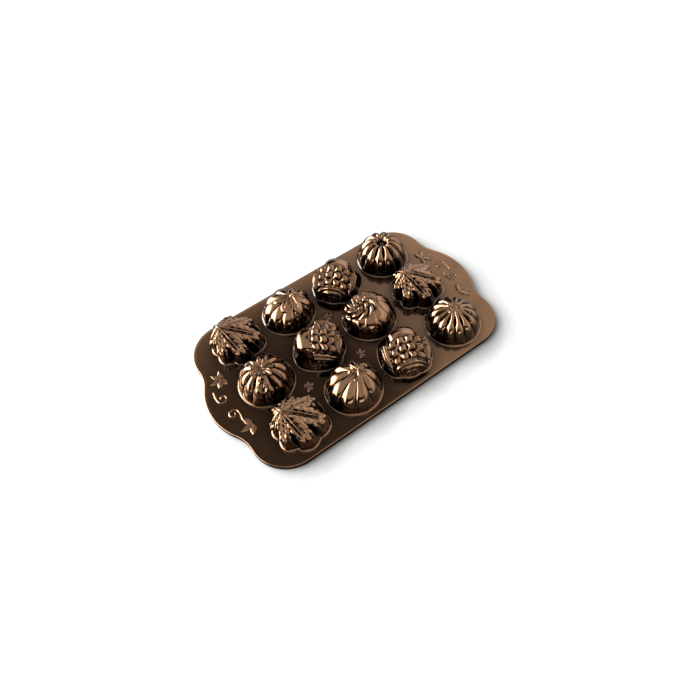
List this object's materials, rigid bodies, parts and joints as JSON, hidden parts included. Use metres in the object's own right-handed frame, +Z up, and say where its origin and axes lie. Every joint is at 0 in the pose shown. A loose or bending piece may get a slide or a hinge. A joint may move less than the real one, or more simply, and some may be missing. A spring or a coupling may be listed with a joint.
{
  "type": "cakelet pan",
  "caption": "Cast aluminium cakelet pan with leaf, acorn, gourd and pumpkin cups, a lobed deck with grip ends and a turned-down rim.",
  "frame": {"origin": "middle of the footprint, on the plane that the rim's lower ring rests on", "axes": "+X along the pan towards the right handle lobe, +Y across the pan, +Z up through the domes of the cups"},
  "size_m": [0.408, 0.244, 0.044],
  "materials": {
    "bronze_coat": "cast aluminium with a glossy bronze-brown non-stick coating"
  },
  "bodies": {
    "root": {"deck_plate": "bronze_coat", "rim_lip": "bronze_coat", "leaf_cup_back_1": "bronze_coat", "gourd_cup_back_2": "bronze_coat", "acorn_cup_back_3": "bronze_coat", "pumpkin_cup_back_4": "bronze_coat", "pumpkin_cup_middle_1": "bronze_coat", "acorn_cup_middle_2": "bronze_coat", "gourd_cup_middle_3": "bronze_coat", "leaf_cup_middle_4": "bronze_coat", "leaf_cup_front_1": "bronze_coat", "gourd_cup_front_2": "bronze_coat", "acorn_cup_front_3": "bronze_coat", "squash_cup_front_4": "bronze_coat", "leaf_spray_left_back": "bronze_coat", "leaf_spray_left_front": "bronze_coat", "leaf_spray_right_back": "bronze_coat", "leaf_spray_right_front": "bronze_coat", "vine_left_back": "bronze_coat", "vine_left_front": "bronze_coat", "vine_right_back": "bronze_coat", "vine_right_front": "bronze_coat", "leaf_relief_left": "bronze_coat", "leaf_relief_front": "bronze_coat", "leaf_relief_back": "bronze_coat"}
  },
  "joints": []
}
